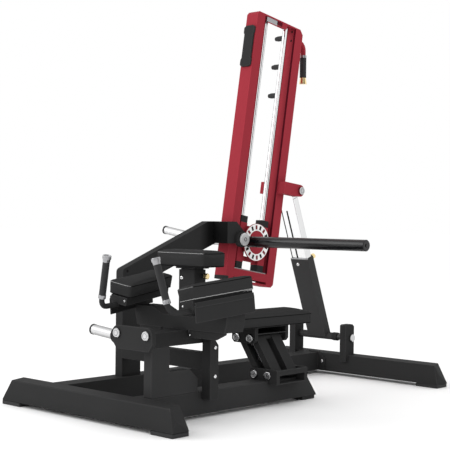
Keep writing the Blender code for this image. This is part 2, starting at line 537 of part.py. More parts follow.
# Yoke that carries both elbow pads, with the chest pad's sleeve standing on it
YOKE0, YOKE1 = 0.390, 0.530
c = MID_RAIL_X
yoke = [(0.4885, c - 0.335), (0.4885, c + 0.335), (0.545, c + 0.350), (0.596, c + 0.352), (0.596, c + 0.215),
        (0.560, c + 0.130), (0.560, c - 0.130), (0.596, c - 0.215), (0.596, c - 0.352), (0.545, c - 0.350)]
yoke = place("pad_yoke", flat_mesh("pad_yoke", [yoke], "Y", YOKE0, YOKE1), BLACK, at(0, 0, 0))
combine(yoke, box_mesh("foot", (c - 0.055, YOKE0 + 0.001, 0.485 + GAP), (c + 0.055, YOKE1 - 0.001, 0.510)))
soften(yoke, 0.003, 1)
for skirt in ([(0.4475, c - 0.318), (0.4950, c - 0.318), (0.4950, -0.420 - GAP), (0.4475, -0.420 - GAP)],
              [(0.4475, STAND_X1 + GAP), (0.4950, STAND_X1 + GAP), (0.4950, c + 0.334), (0.4800, c + 0.334), (0.4475, c + 0.265)]):
    combine(yoke, flat_mesh("skirt", [skirt], "Y", YOKE0 + 0.006, YOKE0 + 0.018))


def elbow_matrix(hand, cant=True):
    turn = Euler((PAD_PITCH, -hand * PAD_CANT if cant else 0.0, -hand * PAD_YAW), "YXZ").to_matrix().to_4x4()
    return Matrix.Translation(at(MID_RAIL_X + hand * ELBOW_SPREAD, ELBOW_Y, ELBOW_Z)) @ turn


for side_name, hand in (("left", -1), ("right", 1)):
    base = elbow_matrix(hand)
    angles = (PAD_PITCH, -hand * PAD_CANT, -hand * PAD_YAW)
    tray = [(-0.0010, -0.0525), (-0.0010, 0.0525), (-0.045, 0.0525), (-0.045, 0.0475), (-0.006, 0.0475),
            (-0.006, -0.0475), (-0.045, -0.0475), (-0.045, -0.0525)]
    tray = flat_mesh("elbow_tray", [tray], "Y", 0.006, 0.384)
    tray = place("elbow_bracket_" + side_name, tray, BLACK, base.to_translation(), angles, mode="YXZ")
    combine(tray, box_mesh("lip", (-0.0524, 0.0, -0.045), (0.0524, 0.0062, -0.0011)))
    upright = elbow_matrix(hand, False)
    apron = box_mesh("apron", (hand * 0.0665 - 0.003, 0.002, -0.106), (hand * 0.0665 + 0.003, 0.382, -0.018))
    combine(tray, box_mesh("wing", (min(hand * 0.050, hand * 0.0665), 0.008, -0.0400), (max(hand * 0.050, hand * 0.0665), 0.380, -0.0150)))
    apron.transform(base.inverted() @ upright)
    combine(tray, apron)
    pad = cushion("elbow_pad", (0.155, 0.390, 0.074), 0.018, 0.012, 0.005, 0.004)
    pad.transform(Matrix.Translation((0, 0.195 - 0.001, 0.0)))
    place("elbow_pad_" + side_name, pad, VINYL, base.to_translation(), angles, mode="YXZ")

    # Bent hand grip in front of each pad
    foot = upright @ Vector((hand * 0.022, 0.004, -0.047)) - SHIFT
    out = (upright.to_3x3() @ Vector((0, -1, 0)))
    knee = foot + out * 0.135
    top = Vector((MID_RAIL_X + hand * 0.194, 0.040, 0.850))
    ring_low = Vector((MID_RAIL_X + hand * 0.250, 0.060, 0.652))
    knee.z = 0.603
    knee.xy = (ring_low + (ring_low - top) / (top.z - ring_low.z) * (ring_low.z - knee.z)).xy
    path = bend([foot, knee, ring_low], 0.048, 5)
    bar = pipe_mesh("handle_tube", path, 0.0148)
    bar.transform(base.inverted() @ Matrix.Translation(SHIFT))
    combine(tray, bar)
    along = (top - ring_low).normalized()
    tilt = along.to_track_quat("Z", "Y").to_euler()
    grip = cylinder_mesh("handle_grip", "Z", (0, 0), 0.0188, 0.015, 0.207, 24, 0.002)
    grip = place("handle_grip_" + side_name, grip, RUBBER, ring_low + SHIFT, tilt)
    combine(grip, cylinder_mesh("ring", "Z", (0, 0), 0.0205, GAP, 0.022, 24, 0.002))
    knob = cylinder_mesh("cap", "Z", (0, 0), 0.0240, 0.205, 0.240, 24, 0.003)
    for vert in knob.vertices:
        if vert.co.z < 0.222:
            vert.co.x *= 0.84
            vert.co.y *= 0.84
    combine(grip, knob)

# Chest pad on its sliding post
CHEST_Y = 0.485
sleeve = flat_mesh("chest_sleeve", [rounded((c - 0.060, CHEST_Y - 0.045), (c + 0.060, CHEST_Y + 0.045), 0.006, 2)], "Z",
                   0.560 + GAP, 0.805)
sleeve = place("chest_sleeve", sleeve, BLACK, at(0, 0, 0))
combine(sleeve, box_mesh("bore", (c - 0.054, CHEST_Y - 0.039, 0.5), (c + 0.054, CHEST_Y + 0.039, 0.9)), "DIFFERENCE")
combine(sleeve, cylinder_mesh("collar", "X", (0.505, 0.770), 0.012, c + 0.056, c + 0.071, 20))
combine(sleeve, cylinder_mesh("pin_bore", "X", (0.505, 0.770), 0.0065, c + 0.050, c + 0.080, 12), "DIFFERENCE")
rise = pivot("chest_rise", at(c, CHEST_Y, 0.805))
post = flat_mesh("chest_post", [rounded((-0.053, -0.038), (0.053, 0.038), 0.004, 1)], "Z", -0.215, 0.008)
post = place("chest_post", post, BLACK, (0, 0, 0), parent=rise)
combine(post, box_mesh("flange", (-0.072, -0.055, 0.0055), (0.072, 0.055, 0.0165)))
pad = cushion("chest_pad", (0.370, 0.175, 0.082), 0.022, 0.016, 0.006, 0.004)
pad.transform(Matrix.Translation((0, -0.0125, 0.0165 + GAP)))
place("chest_pad", pad, VINYL, (0, 0, 0), parent=rise)
pull = pivot("chest_pin_pull", at(c + 0.071, 0.505, 0.770))
pin = place("chest_pin", cylinder_mesh("chest_pin", "X", (0, 0), 0.0055, -0.009, 0.008, 12), BRASS, (0, 0, 0), parent=pull)
combine(pin, cylinder_mesh("knob", "X", (0, 0), 0.0165, 0.004, 0.028, 20, 0.004))

# Knee pad on two rows of swinging links
LINK_Y0, LINK_Y1 = 1.0505, 1.325
foot_x = [c + 0.006 - LINK_PITCH / 2, c + 0.006 + LINK_PITCH / 2]
shoe = [(RAIL_TOP + GAP, -0.430), (RAIL_TOP + GAP, -0.297), (0.130, -0.295), (0.130, -0.232), (0.208, -0.232),
        (0.214, -0.240), (0.214, -0.430), (0.200, -0.445), (0.160, -0.445)]
shoe_body = place("knee_shoe", flat_mesh("knee_shoe", [shoe], "Y", LINK_Y0, LINK_Y0 + 0.025), BLACK, at(0, 0, 0))
combine(shoe_body, flat_mesh("shoe", [shoe], "Y", LINK_Y1 - 0.025, LINK_Y1))
for x0, z0, z1 in ((-0.250, 0.182, 0.211), (-0.292, 0.1305, 0.1365)):
    combine(shoe_body, box_mesh("tie", (x0, LINK_Y0 + 0.0245, z0), (-0.233, LINK_Y1 - 0.0245, z1)))
for x in foot_x:
    combine(shoe_body, cylinder_mesh("pin", "Y", (x, LINK_FOOT_Z), 0.0095, LINK_Y0 + 0.001, LINK_Y1 - 0.001, 16))
soften(shoe_body, 0.002)
link = []
for a in range(0, 181, 20):
    link.append((LINK_LONG + 0.019 * math.sin(math.radians(a)), 0.019 * math.cos(math.radians(a))))
for a in range(180, 361, 20):
    link.append((0.019 * math.sin(math.radians(a)), 0.019 * math.cos(math.radians(a))))
link_holes = [circle(0, 0, 0.0103, 16), circle(LINK_LONG, 0, 0.0103, 16)]
rows = []
for row, x in (("far", foot_x[0]), ("near", foot_x[1])):
    swing = pivot("knee_swing_" + row, at(x, LINK_Y0, LINK_FOOT_Z), (0, -LINK_LEAN, 0))
    rows.append(swing)
    bars = place("knee_links_" + row, flat_mesh("knee_links_" + row, [link] + link_holes, "Y", 0.030, 0.110), BLACK,
                 (0, 0, 0), parent=swing)
    combine(bars, flat_mesh("link", [link] + link_holes, "Y", 0.168, 0.247))
    for z in (0, LINK_LONG):
        combine(bars, flat_mesh("bush", [circle(z, 0, 0.015, 20), circle(z, 0, 0.0103, 16)], "Y", 0.109, 0.171))
damper = cylinder_mesh("link_damper", "Z", (0.0425, 0.070), 0.0135, 0.050, 0.200, 20, 0.002)
damper = place("link_damper", damper, SILVER, (0, 0, 0), parent=rows[0])
for z in (0.070, 0.165):
    combine(damper, box_mesh("strap", (0.019 + GAP, 0.060, z), (0.036, 0.080, z + 0.015)))

head_dx, head_dz = -LINK_LONG * math.sin(LINK_LEAN), LINK_LONG * math.cos(LINK_LEAN)
deck = pivot("knee_deck", (0, 0, LINK_LONG), (0, LINK_LEAN, 0), parent=rows[0])
mid_x = LINK_PITCH / 2
cheek = [(-0.030, mid_x - 0.075), (-0.030, mid_x + 0.075), (-0.012, mid_x + 0.092), (0.0648, mid_x + 0.092),
         (0.0648, mid_x - 0.092), (-0.012, mid_x - 0.092)]
channel = [(0.0648, mid_x - 0.092), (0.0648, mid_x + 0.092), (0.0600, mid_x + 0.092), (0.0600, mid_x - 0.086),
           (0.0272, mid_x - 0.086), (0.0272, mid_x + 0.092), (0.0224, mid_x + 0.092), (0.0224, mid_x - 0.092)]
body = place("knee_deck_frame", flat_mesh("knee_deck_frame", [channel], "Y", 0.0245, 0.2750), BLACK, (0, 0, 0), parent=deck)
for y0 in (0.0, 0.2745):
    combine(body, flat_mesh("cheek", [cheek], "Y", y0, y0 + 0.025))
for x in (0, LINK_PITCH):
    combine(body, cylinder_mesh("pin", "Y", (x, 0), 0.0095, 0.001, 0.2985, 16))
soften(body, 0.002)
pad = cushion("knee_pad", (0.250, 0.706, 0.068), 0.020, 0.014, 0.026, 0.004)
pad.transform(Matrix.Translation((mid_x, 1.1890 - LINK_Y0, 0.0648 + GAP)))
place("knee_pad", pad, VINYL, (0, 0, 0), parent=deck)
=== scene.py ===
"""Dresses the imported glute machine: painted, plated and rubber finishes, upholstered pads, grips, bolts,
dial marks and a pale studio. Loaded as an add-on it shows one button per group of pieces in the sidebar."""
import json
import math
import bpy
import bmesh
from bpy.props import FloatProperty, FloatVectorProperty, IntProperty, PointerProperty
from mathutils import Euler, Matrix, Vector
from mathutils.bvhtree import BVHTree

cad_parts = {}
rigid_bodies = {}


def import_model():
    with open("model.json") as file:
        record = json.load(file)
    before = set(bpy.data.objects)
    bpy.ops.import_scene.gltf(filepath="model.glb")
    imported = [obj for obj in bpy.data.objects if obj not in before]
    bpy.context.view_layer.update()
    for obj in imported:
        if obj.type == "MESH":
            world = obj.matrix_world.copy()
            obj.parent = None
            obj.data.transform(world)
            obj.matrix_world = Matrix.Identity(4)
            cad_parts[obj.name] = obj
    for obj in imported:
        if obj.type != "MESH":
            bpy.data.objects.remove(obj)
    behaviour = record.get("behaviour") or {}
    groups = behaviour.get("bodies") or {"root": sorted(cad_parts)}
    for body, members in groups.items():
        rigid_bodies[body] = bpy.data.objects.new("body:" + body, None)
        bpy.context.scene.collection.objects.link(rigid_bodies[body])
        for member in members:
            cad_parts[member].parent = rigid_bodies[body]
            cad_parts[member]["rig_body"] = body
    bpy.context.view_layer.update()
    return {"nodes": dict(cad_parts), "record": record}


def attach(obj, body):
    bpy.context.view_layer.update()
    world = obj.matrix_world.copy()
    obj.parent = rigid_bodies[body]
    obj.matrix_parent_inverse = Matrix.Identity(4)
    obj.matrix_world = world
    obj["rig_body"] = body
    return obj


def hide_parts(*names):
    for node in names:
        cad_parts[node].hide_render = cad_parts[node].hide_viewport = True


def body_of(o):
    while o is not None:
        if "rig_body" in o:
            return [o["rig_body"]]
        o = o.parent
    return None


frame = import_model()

bl_info = {
    "name": "Kneeling glute machine",
    "version": (1, 0, 0),
    "blender": (4, 5, 0),
    "location": "3D View > Sidebar > Glute machine",
    "description": "Finishes, pads, fittings and studio for the plate-loaded kneeling glute machine",
    "category": "Object",
}

# Where things stand, in metres. Survey positions run from the front rail's right-hand end, as in the CAD source
SHIFT = Vector((0.68985, -1.24, 0.0))
MID_RAIL_X = -0.360
FRAME_X, AXLE_Y, AXLE_Z = -0.9825, 1.4318, 0.949
LEAN = math.radians(9.4)
FRAME_TOP, LIP = 1.503, 0.009
STILE_T, FRAME_T = 0.073, 0.468
CARRIAGE_T, CARRIAGE_S = 0.199, 0.009
SHAFT_Y, SHAFT_Z = 2.400, 0.264
STRUT_LEAN = math.radians(20.7)
PAD_CANT, PAD_PITCH, PAD_YAW = math.radians(10.5), math.radians(6.5), math.radians(10.2)
ELBOW_SPREAD, ELBOW_Y, ELBOW_Z = 0.2584, 0.1868, 0.6592
LINK_LONG, LINK_LEAN, LINK_PITCH, LINK_FOOT_Z, LINK_Y0 = 0.248, math.radians(34.7), 0.103, 0.178, 1.0505
LINK_ROW_X = MID_RAIL_X + 0.006
FRONT, RIGHT, DOWN = (0, -1, 0), (1, 0, 0), (0, 0, -1)


def at(x, y, z):
    """A survey position in the row frame."""
    return Vector((x, y, z)) + SHIFT


FRAME_AXES = Matrix.Translation(at(FRAME_X, AXLE_Y, AXLE_Z)) @ Matrix.Rotation(-LEAN, 4, "X")
DIAL_AXES = FRAME_AXES @ Matrix.Translation((0, CARRIAGE_T, CARRIAGE_S))
STRUT_FOOT = Matrix.Translation(at(FRAME_X, SHAFT_Y, SHAFT_Z))
STRUT_AXES = STRUT_FOOT @ Matrix.Rotation(STRUT_LEAN, 4, "X")


def elbow_axes(hand):
    """Axes of an elbow pad's board: X across, Y to the rear, Z out of the pad. hand is 1 for right, -1 for left."""
    turn = Euler((PAD_PITCH, -hand * PAD_CANT, -hand * PAD_YAW), "YXZ").to_matrix().to_4x4()
    return Matrix.Translation(at(MID_RAIL_X + hand * ELBOW_SPREAD, ELBOW_Y, ELBOW_Z)) @ turn


def foot_pin(k):
    """Near end of a lower pin of the knee links, the left one for 0 and the right one for 1."""
    return at(LINK_ROW_X + (k - 0.5) * LINK_PITCH, LINK_Y0, LINK_FOOT_Z)


def head_pin(k):
    """Near end of an upper pin of the knee links."""
    x = LINK_ROW_X - LINK_PITCH / 2 - LINK_LONG * math.sin(LINK_LEAN)
    return at(x, LINK_Y0, LINK_FOOT_Z + LINK_LONG * math.cos(LINK_LEAN)) + Vector((k * LINK_PITCH, 0, 0))


def facing(position, direction):
    """Axes at a position with Z along a direction."""
    return Matrix.Translation(position) @ Vector(direction).to_track_quat("Z", "Y").to_matrix().to_4x4()


# ---------------------------------------------------------------- settings

class FinishSettings(bpy.types.PropertyGroup):
    black: FloatVectorProperty(
        name="Black powder coat", description="Colour of the base, arm, stand and brackets",
        subtype="COLOR", size=3, min=0, max=1, default=(0.0290, 0.0290, 0.0293))
    red: FloatVectorProperty(
        name="Red powder coat", description="Colour of the tilting frame and carriage",
        subtype="COLOR", size=3, min=0, max=1, default=(0.300, 0.027, 0.040))
    vinyl: FloatVectorProperty(
        name="Vinyl", description="Colour of the upholstery",
        subtype="COLOR", size=3, min=0, max=1, default=(0.0315, 0.0315, 0.0318))
    grain: FloatProperty(
        name="Paint texture", description="Depth of the fine texture in the powder coat",
        subtype="FACTOR", min=0, max=1, default=0.12)
    polish: FloatProperty(
        name="Chrome roughness", description="Roughness of the chromed rods, ram and bolt heads",
        subtype="FACTOR", min=0, max=1, default=0.08)


class CushionSettings(bpy.types.PropertyGroup):
    voxel: FloatProperty(
        name="Cover mesh", description="Edge length of the cover's mesh while the foam is inflated",
        subtype="DISTANCE", unit="LENGTH", min=0.003, max=0.01, default=0.005)
    pressure: FloatProperty(
        name="Foam pressure", description="Pressure of the foam against the cover", min=0, max=20, default=4.0)
    swell: FloatProperty(
        name="Largest swell", description="How far the foam may push the cover out",
        subtype="DISTANCE", unit="LENGTH", min=0, max=0.01, default=0.0035)
    piping: FloatProperty(
        name="Piping radius", description="Radius of the cord sewn round each pad's edge",
        subtype="DISTANCE", unit="LENGTH", min=0.001, max=0.006, default=0.0024)
    fill: FloatProperty(
        name="Fill", description="How tightly the pads are filled", subtype="FACTOR", min=0, max=1, default=0.85)


class FittingSettings(bpy.types.PropertyGroup):
    bolt_radius: FloatProperty(
        name="Bolt head radius", description="Radius of the domed bolt heads",
        subtype="DISTANCE", unit="LENGTH", min=0.004, max=0.02, default=0.0105)
    marks: IntProperty(name="Dial marks", description="Number of marks round the dial", min=4, max=48, default=16)
    mark_long: FloatProperty(
        name="Mark length", description="Length of a dial mark along the radius",
        subtype="DISTANCE", unit="LENGTH", min=0.004, max=0.03, default=0.027)
    mark_wide: FloatProperty(
        name="Mark width", description="Width of a dial mark",
        subtype="DISTANCE", unit="LENGTH", min=0.002, max=0.02, default=0.0160)
    pin_cap: FloatProperty(
        name="Link pin cap radius", description="Radius of the chrome caps on the knee links' pins",
        subtype="DISTANCE", unit="LENGTH", min=0.01, max=0.04, default=0.0245)


class StageSettings(bpy.types.PropertyGroup):
    sky: FloatProperty(
        name="Surround", description="Strength of the white surround as a light", min=0, max=4, default=1.04)
    key: FloatProperty(
        name="Key light", description="Power of the large light in front, to the left",
        subtype="POWER", unit="POWER", min=0, max=10000, default=165.0)
    top: FloatProperty(
        name="Top light", description="Power of the light overhead",
        subtype="POWER", unit="POWER", min=0, max=10000, default=10.0)
    floor: FloatVectorProperty(
        name="Floor", description="Colour of the studio floor",
        subtype="COLOR", size=3, min=0, max=1, default=(0.97, 0.97, 0.97))


class MachineSettings(bpy.types.PropertyGroup):
    finish: PointerProperty(type=FinishSettings)
    cushion: PointerProperty(type=CushionSettings)
    fitting: PointerProperty(type=FittingSettings)
    stage: PointerProperty(type=StageSettings)


def settings():
    return bpy.context.scene.machine


# ---------------------------------------------------------------- shader nodes

def connect(tree, socket, value):
    """Feed a socket with a number, a colour or another node's output."""
    if isinstance(value, bpy.types.NodeSocket):
        tree.links.new(value, socket)
    elif isinstance(value, (tuple, list)):
        socket.default_value = (*value, 1)
    else:
        socket.default_value = value


def node(tree, kind, **sockets):
    """A new node with some of its inputs fed."""
    made = tree.nodes.new(kind)
    for name, value in sockets.items():
        connect(tree, made.inputs[name.replace("_", " ")], value)
    return made


def mixed(tree, factor, under, over):
    """A colour that goes from under to over as the factor rises."""
    made = tree.nodes.new("ShaderNodeMix")
    made.data_type = "RGBA"
    for name, value in (("Factor", factor), ("A", under), ("B", over)):
        connect(tree, made.inputs[name], value)
    return made.outputs["Result"]


def ramp(tree, value, start, end, low=0.0, high=1.0):
    """A value mapped from start and end to low and high, and held beyond them."""
    made = node(tree, "ShaderNodeMapRange", Value=value, From_Min=start, From_Max=end, To_Min=low, To_Max=high)
    return made.outputs["Result"]


def worked(tree, operation, first, second, clamp=False):
    """The outcome of a sum on two values."""
    made = tree.nodes.new("ShaderNodeMath")
    made.operation = operation
    made.use_clamp = clamp
    for k, value in enumerate((first, second)):
        connect(tree, made.inputs[k], value)
    return made.outputs[0]


def new_group(name, inputs, outputs):
    """An empty node group with its first and last node. Inputs go by name and start value, None for a vector."""
    tree = bpy.data.node_groups.new(name, "ShaderNodeTree")
    for title, value in inputs.items():
        kind = "NodeSocketVector" if value is None else "NodeSocketFloat"
        socket = tree.interface.new_socket(title, in_out="INPUT", socket_type=kind)
        if value is not None:
            socket.default_value = value
    for title in outputs:
        tree.interface.new_socket(title, in_out="OUTPUT", socket_type="NodeSocketFloat")
    return tree, tree.nodes.new("NodeGroupInput").outputs, tree.nodes.new("NodeGroupOutput").inputs


def surface_group():
    """Shared: a soft cloudy tone and a fine grain, from a position."""
    name = "surface_grain"
    if name not in bpy.data.node_groups:
        tree, start, end = new_group(name, {"Vector": None, "Grain Scale": 700.0}, ("Tone", "Grain"))
        cloud = node(tree, "ShaderNodeTexNoise", Vector=start["Vector"], Scale=3.0, Detail=3.0, Roughness=0.55)
        grain = node(tree, "ShaderNodeTexNoise", Vector=start["Vector"], Scale=start["Grain Scale"], Detail=2.0,
                     Roughness=0.6)
        tree.links.new(cloud.outputs["Fac"], end["Tone"])
        tree.links.new(grain.outputs["Fac"], end["Grain"])
    return bpy.data.node_groups[name]


def mask_group():
    """Shared: 1 where a coordinate lies beyond a limit, 0 elsewhere, with a ramp of half a millimetre."""
    name = "beyond_limit"
    if name not in bpy.data.node_groups:
        tree, start, end = new_group(name, {"Value": 0.0, "Limit": 0.0}, ("Mask",))
        beyond = worked(tree, "SUBTRACT", start["Value"], start["Limit"])
        tree.links.new(worked(tree, "MULTIPLY", beyond, 2000.0, True), end["Mask"])
    return bpy.data.node_groups[name]


def corner_group():
    """Shared: the mask of a painted highlight, 1 along a piece's corners, where its rounded normal leaves the flat one,
    0 elsewhere.
    """
    name = "lit_corners"
    if name not in bpy.data.node_groups:
        tree, start, end = new_group(name, {"Radius": 0.005}, ("Mask",))
        rounded = node(tree, "ShaderNodeBevel", Radius=start["Radius"])
        rounded.samples = 4
        both = tree.nodes.new("ShaderNodeVectorMath")
        both.operation = "DOT_PRODUCT"
        tree.links.new(rounded.outputs["Normal"], both.inputs[0])
        tree.links.new(tree.nodes.new("ShaderNodeNewGeometry").outputs["Normal"], both.inputs[1])
        tree.links.new(ramp(tree, both.outputs["Value"], 0.99, 0.80), end["Mask"])
    return bpy.data.node_groups[name]


def hollow_shade_group():
    """Shared: painted shade, 1 in the open, falling to the deepest value inside a piece's hollows."""
    name = "hollows"
    if name not in bpy.data.node_groups:
        tree, start, end = new_group(name, {"Distance": 0.16, "Deepest": 0.0}, ("Light",))
        hollow = node(tree, "ShaderNodeAmbientOcclusion", Distance=start["Distance"])
        hollow.samples = 6
        tree.links.new(ramp(tree, hollow.outputs["AO"], 0.15, 0.65, start["Deepest"]), end["Light"])
    return bpy.data.node_groups[name]


def placed(tree, group, **sockets):
    """A shared group put into a material: its outputs."""
    made = tree.nodes.new("ShaderNodeGroup")
    made.node_tree = group
    for name, value in sockets.items():
        connect(tree, made.inputs[name.replace("_", " ")], value)
    return made.outputs


# ---------------------------------------------------------------- finishes

def finish(name, colour, roughness, metallic=0.0, coat=0.0, spread=0.10, grain_scale=700.0, grain=0.1, specular=0.5,
           hollow_shade=0.0, edge=1.0, rim=0.0):
    """A finish whose colour and roughness drift a little over the piece, with a fine relief.

    hollow_shade is the depth of painted shade in its hollows, edge the gain of a painted highlight on its corners, and
    rim the depth of a painted dark reflection at a glancing angle, as a dark surround gives on plating."""
    if name in bpy.data.materials:
        return bpy.data.materials[name]
    mat = bpy.data.materials.new(name)
    mat.use_nodes = True
    tree = mat.node_tree
    shader = tree.nodes["Principled BSDF"].inputs
    for socket, value in (("Metallic", metallic), ("Coat Weight", coat), ("Coat Roughness", 0.08),
                          ("Specular IOR Level", specular)):
        shader[socket].default_value = value
    position = tree.nodes.new("ShaderNodeTexCoord").outputs["Object"]
    surface = placed(tree, surface_group(), Vector=position, Grain_Scale=grain_scale)
    darker, lighter = [c * (1 - spread) for c in colour], [min(c * (1 + spread), 1) for c in colour]
    paint = mixed(tree, surface["Tone"], darker, lighter)
    # painted highlight: the colour made lighter along the corners
    if edge > 1:
        corners = placed(tree, corner_group())["Mask"]
        paint = mixed(tree, corners, paint, [min(c * edge, 1) for c in colour])
    # painted reflection: the colour darkened at a glancing angle, as a dark surround reflects in plating
    if rim:
        glance = node(tree, "ShaderNodeLayerWeight", Blend=0.5).outputs["Facing"]
        paint = mixed(tree, ramp(tree, glance, 0.28, 0.80, 0.0, rim), paint, (0.01, 0.01, 0.01))
    # painted shade: the colour darkened inside the piece's hollows
    if hollow_shade:
        light = placed(tree, hollow_shade_group(), Deepest=1 - hollow_shade)["Light"]
        paint = mixed(tree, light, (0, 0, 0), paint)
    tree.links.new(paint, shader["Base Color"])
    rough = ramp(tree, surface["Grain"], 0.0, 1.0, max(roughness - 0.05, 0.02), roughness + 0.05)
    tree.links.new(rough, shader["Roughness"])
    bump = node(tree, "ShaderNodeBump", Strength=grain, Distance=0.0004, Height=surface["Grain"])
    tree.links.new(bump.outputs["Normal"], shader["Normal"])
    return mat


def place_in(tree):
    """X, Y and Z of a point of the piece, from the machine's own origin."""
    position = tree.nodes.new("ShaderNodeTexCoord").outputs["Object"]
    return node(tree, "ShaderNodeSeparateXYZ", Vector=position).outputs


def part_plated(name, limit, beyond, within):
    """Paint on the middle of a shaft, plating past a limit on X, measured from the machine's middle plane."""
    if name in bpy.data.materials:
        return bpy.data.materials[name]
    painted, plated = 0.45, 0.12
    mat = finish(name, within, painted)
    tree = mat.node_tree
    shader = tree.nodes["Principled BSDF"].inputs
    mask = placed(tree, mask_group(), Value=place_in(tree)["X"], Limit=limit)["Mask"]
    paint = shader["Base Color"].links[0].from_socket
    tree.links.new(mixed(tree, mask, paint, beyond), shader["Base Color"])
    tree.links.new(mask, shader["Metallic"])
    tree.links.new(ramp(tree, mask, 0.0, 1.0, painted, plated), shader["Roughness"])
    return mat


def shaded_arm(name, colour):
    """The black finish with painted shade in the corner between the arm's side and the fork's front plate."""
    if name in bpy.data.materials:
        return bpy.data.materials[name]
    mat = finish(name, colour, 0.66, specular=0.03, hollow_shade=0.6)
    tree = mat.node_tree
    base = tree.nodes["Principled BSDF"].inputs["Base Color"]
    paint = base.links[0].from_socket
    spot = place_in(tree)
    side, fork, top = [placed(tree, mask_group(), Value=spot[axis], Limit=limit)["Mask"]
                       for axis, limit in (("X", at(-1.0065, 0, 0).x), ("Y", at(0, 1.3175, 0).y), ("Z", 1.0580))]
    # painted shade, growing towards the fork's front plate, on the arm's side below its top
    amount = ramp(tree, spot["Y"], at(0, 1.19, 0).y, at(0, 1.27, 0).y, 0.0, 0.75)
    for mask in (side, worked(tree, "SUBTRACT", 1.0, fork), worked(tree, "SUBTRACT", 1.0, top)):
        amount = worked(tree, "MULTIPLY", amount, mask)
    tree.links.new(mixed(tree, amount, paint, (0.001, 0.001, 0.001)), base)
    return mat


def finishes():
    """Every finish of the machine by its slot, or by its look where several looks share a slot."""
    chosen = settings().finish
    black, red, vinyl = tuple(chosen.black), tuple(chosen.red), tuple(chosen.vinyl)
    return {
        "frame_black": finish("black powder coat", black, 0.66, grain=chosen.grain, specular=0.03, hollow_shade=0.4, edge=2.2),
        "frame_red": finish("red powder coat", red, 0.56, grain=chosen.grain, spread=0.05, specular=0.05, hollow_shade=0.25,
                            edge=1.5),
        "red_shade": finish("red in shade", (0.085, 0.003, 0.010), 0.6, specular=0.05),
        "chrome": finish("chrome plate", (0.86, 0.86, 0.865), chosen.polish, metallic=1.0, spread=0.02, grain=0.02,
                         rim=0.65),
        "plated": finish("plated steel", (0.60, 0.60, 0.605), 0.20, metallic=1.0, spread=0.03, grain=0.02, hollow_shade=0.5,
                         rim=0.8),
        "horn_steel": finish("horn steel", (0.80, 0.80, 0.805), 0.32, metallic=0.6, spread=0.03, grain=0.02, rim=0.85),
        "axle_steel": finish("brushed steel", (0.60, 0.60, 0.605), 0.42, metallic=0.65, spread=0.06, grain=0.03,
                             hollow_shade=0.3),
        "satin_metal": finish("satin aluminium", (0.36, 0.36, 0.37), 0.30, metallic=1.0, spread=0.05,
                              grain_scale=1200.0, grain=0.05),
        "brass": finish("brass", (0.88, 0.50, 0.050), 0.30, metallic=1.0, spread=0.05, grain=0.02, rim=0.7),
        "bar_gloss": finish("gloss black tube", (0.006, 0.006, 0.007), 0.20, coat=0.12, spread=0.05, grain=0.02,
                            specular=0.3),
        "upholstery": finish("black vinyl", vinyl, 0.70, spread=0.06, grain_scale=420.0, grain=0.15, specular=0.01,
                             hollow_shade=0.35),
        # a painted highlight: lighter than the vinyl, for the piping along the pads' fronts
        "piping": finish("glossy vinyl cord", (0.060, 0.060, 0.060), 0.22, spread=0.05, grain=0.02, specular=1.0),
        # a painted highlight along the right elbow pad's hem
        "hem_highlight": finish("pale edge trim", (0.30, 0.30, 0.30), 0.30, spread=0.03, grain=0.0, specular=0.5),
        # a real seam, its darkness painted shade
        "seam": finish("dark seam", (0.006, 0.006, 0.006), 0.7, spread=0.05, grain=0.02, specular=0.0),
        "mark_red": finish("red ink", (0.160, 0.004, 0.012), 0.6, spread=0.02, grain=0.0, specular=0.1),
        # print on the dial, and painted shade in the frame's holes and the ram's slots
        "mark_black": finish("black ink", (0.004, 0.004, 0.004), 0.6, spread=0.02, grain=0.0, specular=0.1),
        "rubber": finish("black rubber", (0.020, 0.020, 0.021), 0.62, grain_scale=500.0, grain=0.2, specular=0.3),
        "buffer_grey": finish("grey rubber", (0.30, 0.30, 0.30), 0.6, specular=0.2),
        "dial_white": finish("white plastic", (0.88, 0.88, 0.87), 0.35, spread=0.01, grain=0.03),
    }


# CAD nodes with a look of their own, and the gain of painted light on the black paint of those that are paler in the
# photo
LOOK_OF = {"buffer_strip": "buffer_grey", "tilt_axle": "axle_steel", "plate_cap_left": "plated",
           "plate_cap_right": "plated", "strut_top_pin": "plated", "foot_bar_spindle": "plated",
           "storage_horn_upper": "horn_steel", "storage_horn_lower": "horn_steel", "load_horn": "horn_steel"}
PAINTED_LIGHT_GAIN = {"strut_sleeve": 1.55, "stand_post_front": 1.4, "rail_middle": 1.2}
SHAFT_END_X = -0.7189      # plated past here, in survey positions
BODY_OF = {name: body_of(thing)[0] for name, thing in frame["nodes"].items()}
SLOT_OF = {row["node"]: row["material_slot"] for row in frame["record"]["subparts"]}


# ---------------------------------------------------------------- shapes

def moved(bm, axes):
    """A shape put into place."""
    bmesh.ops.transform(bm, matrix=axes, verts=bm.verts)
    return bm


def keep_piece(name, bm, slot, node_name, look=None, axes=None, sharp=35.0):
    """Moves a shape into place, gives it its finish and lets it ride on the body of a CAD node."""
    if axes is not None:
        moved(bm, axes)
    mesh = bpy.data.meshes.new(name)
    bm.to_mesh(mesh)
    bm.free()
    mesh.materials.append(finishes()[look or slot])
    mesh.shade_smooth()
    mesh.set_sharp_from_angle(angle=math.radians(sharp))
    thing = bpy.data.objects.new(name, mesh)
    bpy.context.scene.collection.objects.link(thing)
    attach(thing, BODY_OF[node_name])
    return thing


def turned(profile, steps=32):
    """A round shape about Z from (radius, height) points: they start and end on the axis, or close on themselves."""
    bm = bmesh.new()
    verts = [bm.verts.new((r, 0, z)) for r, z in profile]
    edges = [bm.edges.new(pair) for pair in zip(verts, verts[1:])]
    bmesh.ops.spin(bm, geom=verts + edges, cent=(0, 0, 0), axis=(0, 0, 1), angle=2 * math.pi, steps=steps,
                   use_merge=True)
    bmesh.ops.remove_doubles(bm, verts=bm.verts, dist=0.00001)
    bmesh.ops.recalc_face_normals(bm, faces=bm.faces)
    return bm


